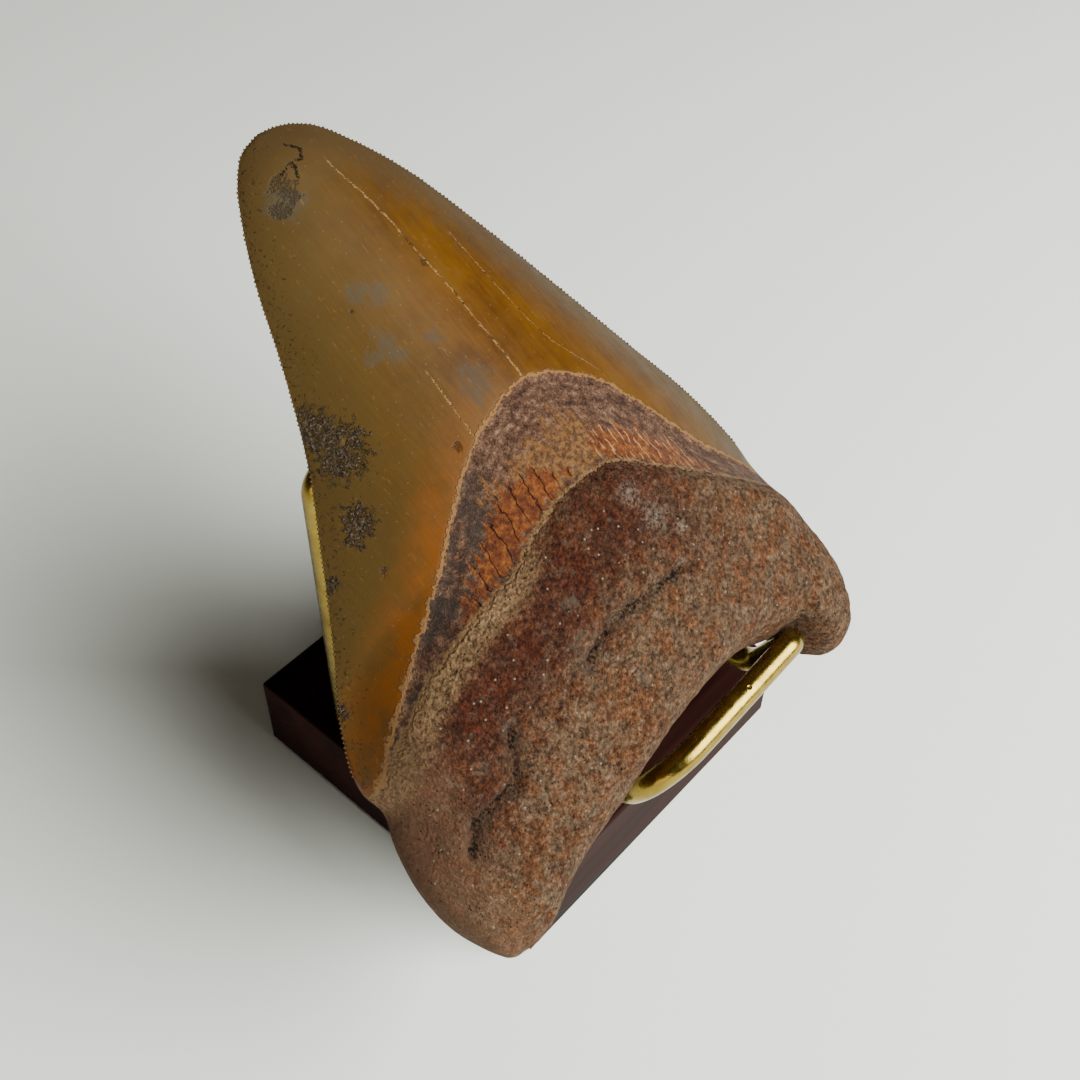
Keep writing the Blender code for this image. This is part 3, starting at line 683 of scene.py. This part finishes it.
def tooth_material(marks):
    """Fossil shark tooth: enamel, band and root, each where the tooth's own distances put it."""
    material, tree, shader = new_material("fossil_enamel_and_root")
    # Places on the tooth are in its own millimetres, so every pattern's scale is per millimetre
    spot = add(tree, MARK, attribute_name="tooth_mm", out="Vector")
    mark = {name: add(tree, MARK, attribute_name=name, out="Fac") for name in marks}
    slow = add(tree, MATH, add(tree, NOISE, spot, None, 0.45, 2.0, 0.5), 0.5, **LESS)
    quick = add(tree, MATH, add(tree, NOISE, spot, None, 1.8, 3.0, 0.6), 0.5, **LESS)
    grit = add(tree, NOISE, spot, None, 2.9, 4.0, 0.68)
    wander = add(tree, MATH, quick, 1.2, add(tree, MATH, slow, 1.7, **TIMES), **TIMES_PLUS)
    enamel_edge = add(tree, MATH, mark["enamel_mm"], wander, **PLUS)
    root_edge = add(tree, MATH, mark["root_mm"], wander, **PLUS)
    on_enamel = add(tree, EASE, enamel_edge, -0.12, 0.12, **SMOOTH)
    on_root = add(tree, EASE, root_edge, 0.30, -0.30, **SMOOTH)

    enamel = enamel_finish(tree, spot, mark, slow, quick, grit)
    band = band_finish(tree, spot, mark, slow, quick, grit, enamel_edge, root_edge)
    root = root_finish(tree, spot, mark, slow, quick, grit, root_edge)
    colour = add(tree, BLEND, on_root, add(tree, BLEND, on_enamel, band[0], enamel[0]), root[0])
    crown_rough = add(tree, EASE, on_enamel, 0.0, 1.0, band[1], enamel[1])
    roughness = add(tree, EASE, on_root, 0.0, 1.0, crown_rough, root[1])
    crown_height = add(tree, EASE, on_enamel, 0.0, 1.0, band[2], enamel[2])
    height = add(tree, EASE, on_root, 0.0, 1.0, crown_height, root[2])
    relief = add(tree, BUMP, named={"Height": height, "Distance": MM, "Strength": 1.0})
    tree.links.new(colour, shader.inputs["Base Color"])
    tree.links.new(roughness, shader.inputs["Roughness"])
    tree.links.new(relief, shader.inputs["Normal"])
    shader.inputs["IOR"].default_value = 1.58
    shader.inputs["Specular IOR Level"].default_value = 0.09
    return material


def brass_material():
    """Brass rod, bent and buffed: a warm mirror with rubbing marks and dull tarnish in patches."""
    material, tree, shader = new_material("buffed_brass")
    # Scales are per metre: clouds of about 6 mm, rubbing of about 2 mm, a dent every 4 mm
    place = add(tree, "ShaderNodeTexCoord", out="Object")
    cloud = add(tree, NOISE, place, None, 160.0, 4.0, 0.6)
    colour = add(tree, RAMP, cloud, stops=[(0.30, "#7a6328"), (0.50, "#8f7834"), (0.70, "#a08a44")])
    rub = add(tree, NOISE, place, None, 420.0, 5.0, 0.7)
    roughness = add(tree, EASE, rub, 0.3, 0.75, 0.20, 0.34)
    dents = add(tree, NOISE, place, None, 600.0, 3.0, 0.6)
    pocks = add(tree, EASE, add(tree, CELLS, place, None, 260.0), 0.16, 0.06, 0.0, -1.4, **SMOOTH)
    dents = add(tree, MATH, dents, pocks, **PLUS)
    relief = add(tree, BUMP, named={"Height": dents, "Distance": 0.00006, "Strength": 1.0})
    tree.links.new(colour, shader.inputs["Base Color"])
    tree.links.new(roughness, shader.inputs["Roughness"])
    tree.links.new(relief, shader.inputs["Normal"])
    shader.inputs["Metallic"].default_value = 1.0
    return material


def wood_material():
    """Oiled rosewood, planed and sanded: near-black brown with fine purple-brown lines along the grain."""
    material, tree, shader = new_material("oiled_rosewood")
    # Scales are per metre: fibres of about 3 by 70 mm, bands of about 17 by 250 mm
    place = add(tree, "ShaderNodeTexCoord", out="Object")
    fibres = add(tree, STRETCH, place, None, None, (14.0, 300.0, 300.0))
    fibres = add(tree, NOISE, fibres, None, 1.0, 5.0, 0.6)
    bands = add(tree, STRETCH, place, None, None, (4.0, 60.0, 60.0))
    bands = add(tree, NOISE, bands, None, 1.0, 2.0, 0.5)
    tone = add(tree, MATH, fibres, 0.55, add(tree, MATH, bands, 0.45, **TIMES), **TIMES_PLUS)
    colour = add(
        tree, RAMP, tone,
        stops=[(0.34, "#0b0302"), (0.46, "#180807"), (0.56, "#250f0d"), (0.68, "#341714")],
    )
    roughness = add(tree, EASE, fibres, 0.3, 0.7, 0.50, 0.66)
    relief = add(tree, BUMP, named={"Height": fibres, "Distance": 0.00012, "Strength": 1.0})
    shader.inputs["Specular IOR Level"].default_value = 0.06
    tree.links.new(colour, shader.inputs["Base Color"])
    tree.links.new(roughness, shader.inputs["Roughness"])
    tree.links.new(relief, shader.inputs["Normal"])
    return material


def table_material():
    """Matt painted board: an even, pale, faintly green grey."""
    material, _, shader = new_material("matt_painted_board")
    shader.inputs["Base Color"].default_value = paint("#f0f2ed")
    shader.inputs["Roughness"].default_value = 0.9
    return material


def new_piece(name, mesh, material, smooth=True):
    """An object at the origin that holds the mesh."""
    data = bpy.data.meshes.new(name)
    mesh.to_mesh(data)
    mesh.free()
    data.materials.append(material)
    for face in data.polygons:
        face.use_smooth = smooth
    made = bpy.data.objects.new(name, data)
    bpy.context.scene.collection.objects.link(made)
    return made


def tree_input(tree, name, kind, value):
    """A named input of a geometry tree."""
    socket = tree.interface.new_socket(name, in_out="INPUT", socket_type=kind)
    socket.default_value = value
    return socket.identifier


def settle(made, tree, values):
    """Runs the tree on the object with its values, keeps the result as a plain mesh."""
    modifier = made.modifiers.new(tree.name, "NODES")
    modifier.node_group = tree
    for identifier, value in values.items():
        modifier[identifier] = value
    graph = bpy.context.evaluated_depsgraph_get()
    plain = bpy.data.meshes.new_from_object(made.evaluated_get(graph))
    made.modifiers.remove(modifier)
    old = made.data
    made.data = plain
    bpy.data.meshes.remove(old)


def rod_tree(material):
    """Bends a chain of corners to their radii and sweeps a round rod along it."""
    tree = bpy.data.node_groups.new("bent_rod", "GeometryNodeTree")
    tree.interface.new_socket("Geometry", in_out="INPUT", socket_type="NodeSocketGeometry")
    radius = tree_input(tree, "Rod radius", "NodeSocketFloat", ROD_RADIUS * MM)
    steps = tree_input(tree, "Bend steps", "NodeSocketInt", BEND_STEPS)
    sides = tree_input(tree, "Rod sides", "NodeSocketInt", ROD_SIDES)
    tree.interface.new_socket("Geometry", in_out="OUTPUT", socket_type="NodeSocketGeometry")
    given = tree.nodes.new("NodeGroupInput").outputs
    chain = add(tree, "GeometryNodeMeshToCurve", named={0: given[0]})
    bend = add(tree, "GeometryNodeInputNamedAttribute", named={"Name": "bend_radius"}, data_type="FLOAT")
    corners = {"Curve": chain, "Count": given[2], "Radius": bend}
    path = add(tree, "GeometryNodeFilletCurve", named=corners, mode="POLY")
    ring = add(tree, "GeometryNodeCurvePrimitiveCircle", named={"Resolution": given[3], "Radius": given[1]})
    swept = {"Curve": path, "Profile Curve": ring, "Fill Caps": True}
    solid = add(tree, "GeometryNodeCurveToMesh", named=swept)
    plain = add(tree, "GeometryNodeRealizeInstances", named={0: solid})
    dressed = add(tree, "GeometryNodeSetMaterial", named={"Geometry": plain, "Material": material})
    add(tree, "NodeGroupOutput", named={0: dressed})
    return tree, {"radius": radius, "steps": steps, "sides": sides}


def make_rod(name, corners, tree, inputs, material):
    """A bent brass rod in place of its plain node."""
    data = bpy.data.meshes.new(name)
    places = [Vector(place) * MM for place, bend in corners]
    data.from_pydata(places, [(i, i + 1) for i in range(len(places) - 1)], [])
    bends = data.attributes.new("bend_radius", "FLOAT", "POINT")
    bends.data.foreach_set("value", [bend * MM for place, bend in corners])
    made = bpy.data.objects.new(name, data)
    bpy.context.scene.collection.objects.link(made)
    values = {"radius": ROD_RADIUS * MM, "steps": BEND_STEPS, "sides": ROD_SIDES}
    settle(made, tree, {inputs[name]: value for name, value in values.items()})
    mesh = bmesh.new()
    mesh.from_mesh(made.data)
    bmesh.ops.remove_doubles(mesh, verts=mesh.verts[:], dist=1e-6)
    bmesh.ops.recalc_face_normals(mesh, faces=mesh.faces[:])
    mesh.to_mesh(made.data)
    mesh.free()
    for face in made.data.polygons:
        face.use_smooth = len(face.vertices) == 4
    return made


def serration_tree(material):
    """Sets a row of small rounded teeth along the marked cutting edge."""
    tree = bpy.data.node_groups.new("serrations", "GeometryNodeTree")
    tree.interface.new_socket("Geometry", in_out="INPUT", socket_type="NodeSocketGeometry")
    pitch = tree_input(tree, "Pitch", "NodeSocketFloat", SERRATION_PITCH * MM)
    size = tree_input(tree, "Size", "NodeSocketFloat", SERRATION_SIZE * MM)
    seed = tree_input(tree, "Seed", "NodeSocketInt", SERRATION_SEED)
    tree.interface.new_socket("Geometry", in_out="OUTPUT", socket_type="NodeSocketGeometry")
    given = tree.nodes.new("NodeGroupInput").outputs
    marked = add(tree, "GeometryNodeInputNamedAttribute", named={"Name": "cutting_edge"}, data_type="BOOLEAN")
    line = add(tree, "GeometryNodeMeshToCurve", named={"Mesh": given[0], "Selection": marked})
    even = add(tree, "GeometryNodeResampleCurve", named={"Curve": line, "Length": given[1]}, mode="LENGTH")
    points = add(tree, "GeometryNodeCurveToPoints", named={"Curve": even}, mode="EVALUATED")
    away = add(tree, "GeometryNodeInputNamedAttribute", named={"Name": "outward"}, data_type="FLOAT_VECTOR")
    turn = add(tree, "FunctionNodeAlignRotationToVector", named={"Vector": away}, axis="X")
    bead = add(tree, "GeometryNodeMeshUVSphere", named={"Segments": 6, "Rings": 4, "Radius": 1.0})
    wear = {"Min": 0.55, "Max": 1.0, "Seed": given[3]}
    worn = add(tree, "FunctionNodeRandomValue", named=wear, out=1, data_type="FLOAT")
    grown = add(tree, MATH, worn, given[2], **TIMES)
    stretch = add(tree, "ShaderNodeCombineXYZ", named={0: grown, 1: grown, 2: grown})
    beads = {"Points": points, "Instance": bead, "Rotation": turn, "Scale": stretch}
    row = add(tree, "GeometryNodeInstanceOnPoints", named=beads)
    plain = add(tree, "GeometryNodeRealizeInstances", named={0: row})
    both = tree.nodes.new("GeometryNodeJoinGeometry")
    tree.links.new(plain, both.inputs[0])
    tree.links.new(given[0], both.inputs[0])
    dressed = add(tree, "GeometryNodeSetMaterial", named={"Geometry": both.outputs[0], "Material": material})
    add(tree, "NodeGroupOutput", named={0: dressed})
    return tree, {"pitch": pitch, "size": size, "seed": seed}


def on_rim(i, j):
    """Whether a point of the grid lies on the rim that both sheets share."""
    return i in (0, ROWS) or j in (0, COLUMNS)


def make_tooth(material):
    """The tooth as one closed body: a fine front sheet, a back sheet at half its fineness, one rim."""
    even = np.linspace(0, 1, COLUMNS + 1)
    across = COLUMN_CROWDING * (0.5 - 0.5 * np.cos(np.pi * even)) + (1 - COLUMN_CROWDING) * even
    even = np.linspace(0, 1, ROWS + 1)
    down = (1 - ROW_CROWDING) * even + ROW_CROWDING * (1 - (1 - even) ** 1.5)
    u, v = np.meshgrid(across, down)
    x, s, front, back, marks = tooth_surface(u, v)
    edge = level(EDGE_LINE, s)
    for line in ((slice(None), 0), (slice(None), COLUMNS), (ROWS, slice(None)), (0, slice(None))):
        front[line] = edge[line]
    places = tooth_place(x, s, front)
    back_places = tooth_place(x, s, back)
    lowest, highest = (np.array(corner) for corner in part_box("tooth"))

    mesh = bmesh.new()
    owner = []
    sheet = {}

    def vertex(i, j, side):
        key = (0, 0, 0) if i == 0 else (i, j, 0 if on_rim(i, j) else side)
        if key not in sheet:
            spot = (places if key[2] == 0 else back_places)[key[0], key[1]]
            sheet[key] = mesh.verts.new(np.clip(spot, lowest, highest))
            owner.append(key)
        return sheet[key]

    for i in range(ROWS):
        for j in range(COLUMNS):
            ring = [vertex(i, j, 0), vertex(i + 1, j, 0), vertex(i + 1, j + 1, 0), vertex(i, j + 1, 0)]
            mesh.faces.new(ring if i else ring[:3])
    for i in range(0, ROWS, 2):
        for j in range(0, COLUMNS, 2):
            ring = [
                (i, j), (i, j + 1), (i, j + 2), (i + 1, j + 2),
                (i + 2, j + 2), (i + 2, j + 1), (i + 2, j), (i + 1, j),
            ]
            corners = [vertex(*point, 1) for n, point in enumerate(ring) if n % 2 == 0 or on_rim(*point)]
            mesh.faces.new(list(dict.fromkeys(corners)))
    bmesh.ops.recalc_face_normals(mesh, faces=mesh.faces[:])
    mesh.verts.index_update()

    piece = new_piece("tooth_body", mesh, material)
    rows = np.array([key[0] for key in owner])
    columns = np.array([key[1] for key in owner])
    behind = np.array([key[2] for key in owner]) == 1
    spots = np.stack([x, s, front], axis=-1)[rows, columns]
    spots[behind, 2] = back[rows, columns][behind]
    back_border = marks.pop("back_root_mm")[rows, columns]
    for name, values in marks.items():
        flat = values[rows, columns]
        if name in ("enamel_mm", "root_mm"):
            flat = np.where(behind, back_border, flat)
        elif name in OFF_THE_BACK:
            flat = np.where(behind, OFF_THE_BACK[name], flat)
        layer = piece.data.attributes.new(name, "FLOAT", "POINT")
        layer.data.foreach_set("value", flat.astype(np.float32))
    layer = piece.data.attributes.new("tooth_mm", "FLOAT_VECTOR", "POINT")
    layer.data.foreach_set("vector", spots.astype(np.float32).ravel())

    outward = np.zeros((len(owner), 3), np.float32)
    left = columns == 0
    right = columns == COLUMNS
    foot = tooth_place(0.0, 0.0, 0.0)
    outward[left] = tooth_place(-1.0, EDGE_RISE, 0.0) - foot
    outward[right] = tooth_place(1.0, EDGE_RISE, 0.0) - foot
    outward[rows == 0] = tooth_place(0.0, 1.0, 0.0) - foot
    layer = piece.data.attributes.new("outward", "FLOAT_VECTOR", "POINT")
    layer.data.foreach_set("vector", outward.ravel())
    ends = np.empty(len(piece.data.edges) * 2, np.int32)
    piece.data.edges.foreach_get("vertices", ends)
    ends = ends.reshape(-1, 2)
    high = s[rows, columns] > CUTTING_EDGE_FROM
    on_edge = (left | right | (rows == 0)) & high
    cutting = on_edge[ends].all(axis=1)
    layer = piece.data.attributes.new("cutting_edge", "BOOLEAN", "EDGE")
    layer.data.foreach_set("value", cutting)
    return piece


def place_camera():
    """The photograph's camera, above the tooth's front left."""
    camera = bpy.data.cameras.new("camera")
    camera.lens = LENS_MM
    camera.sensor_width = SENSOR_MM
    camera.clip_start = 0.01
    camera_object = bpy.data.objects.new("camera", camera)
    back_way = Vector((
        math.sin(CAMERA_AZIMUTH) * math.cos(CAMERA_ELEVATION),
        -math.cos(CAMERA_AZIMUTH) * math.cos(CAMERA_ELEVATION),
        math.sin(CAMERA_ELEVATION),
    ))
    across_way = (-back_way).cross(Vector((0, 0, 1))).normalized()
    up_way = across_way.cross(-back_way)
    turned_across = math.cos(CAMERA_ROLL) * across_way + math.sin(CAMERA_ROLL) * up_way
    turned_up = math.cos(CAMERA_ROLL) * up_way - math.sin(CAMERA_ROLL) * across_way
    turn = Matrix((turned_across, turned_up, back_way)).transposed()
    camera_object.matrix_world = Matrix.Translation(CAMERA_PLACE) @ turn.to_4x4()
    bpy.context.scene.collection.objects.link(camera_object)
    bpy.context.scene.camera = camera_object


def soft_box(name, place, target, width, height, watts, colour):
    """A studio light that looks at a point."""
    lamp = bpy.data.lights.new(name, "AREA")
    lamp.shape = "RECTANGLE"
    lamp.size = width
    lamp.size_y = height
    lamp.energy = watts
    lamp.color = paint(colour)[:3]
    lamp_object = bpy.data.objects.new(name, lamp)
    lamp_object.location = place
    lamp_object.rotation_euler = (Vector(place) - Vector(target)).to_track_quat("Z", "Y").to_euler()
    bpy.context.scene.collection.objects.link(lamp_object)


tooth_finish = tooth_material(MARKS)
brass_finish = brass_material()
wood_finish = wood_material()

tooth = make_tooth(tooth_finish)
tree, inputs = serration_tree(tooth_finish)
values = {"pitch": SERRATION_PITCH * MM, "size": SERRATION_SIZE * MM, "seed": SERRATION_SEED}
settle(tooth, tree, {inputs[name]: value for name, value in values.items()})
for face in tooth.data.polygons:
    face.use_smooth = True

# The serrations too stay inside the solid's box
spots = np.empty(len(tooth.data.vertices) * 3, np.float32)
tooth.data.vertices.foreach_get("co", spots)
lowest, highest = (np.array(corner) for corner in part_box("tooth"))
tooth.data.vertices.foreach_set("co", np.clip(spots.reshape(-1, 3), lowest, highest).ravel())
tooth.data.update()
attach(tooth, "root")
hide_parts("tooth")

tree, inputs = rod_tree(brass_finish)
for piece_name, node_name, corners in (
    ("bent_front_rod", "front_cradle", CRADLE), ("bent_back_rod", "back_rest", REST),
):
    rod = make_rod(piece_name, corners, tree, inputs, brass_finish)
    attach(rod, "root")
    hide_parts(node_name)

for made in bpy.data.objects:
    if made.type == "MESH" and made.name.startswith("block"):
        made.data.materials.clear()
        made.data.materials.append(wood_finish)

floor_mesh = bmesh.new()
bmesh.ops.create_grid(floor_mesh, x_segments=1, y_segments=1, size=TABLE_HALF_SIZE)
table = new_piece("table_top", floor_mesh, table_material(), smooth=False)

place_camera()
soft_box("window", (0.204, -0.628, 0.564), (0, 0, 0.04), 0.76, 0.68, 28.5, "#f8fbf4")
soft_box("left_fill", (-1.02, -0.36, 0.16), (0, 0, 0.07), 0.9, 0.28, 3.0, "#f8ead2")
world = bpy.data.worlds.new("studio")
bpy.context.scene.world = world
world.use_nodes = True
background = world.node_tree.nodes["Background"]
background.inputs["Color"].default_value = paint("#f4ecd8")
background.inputs["Strength"].default_value = ROOM_LIGHT
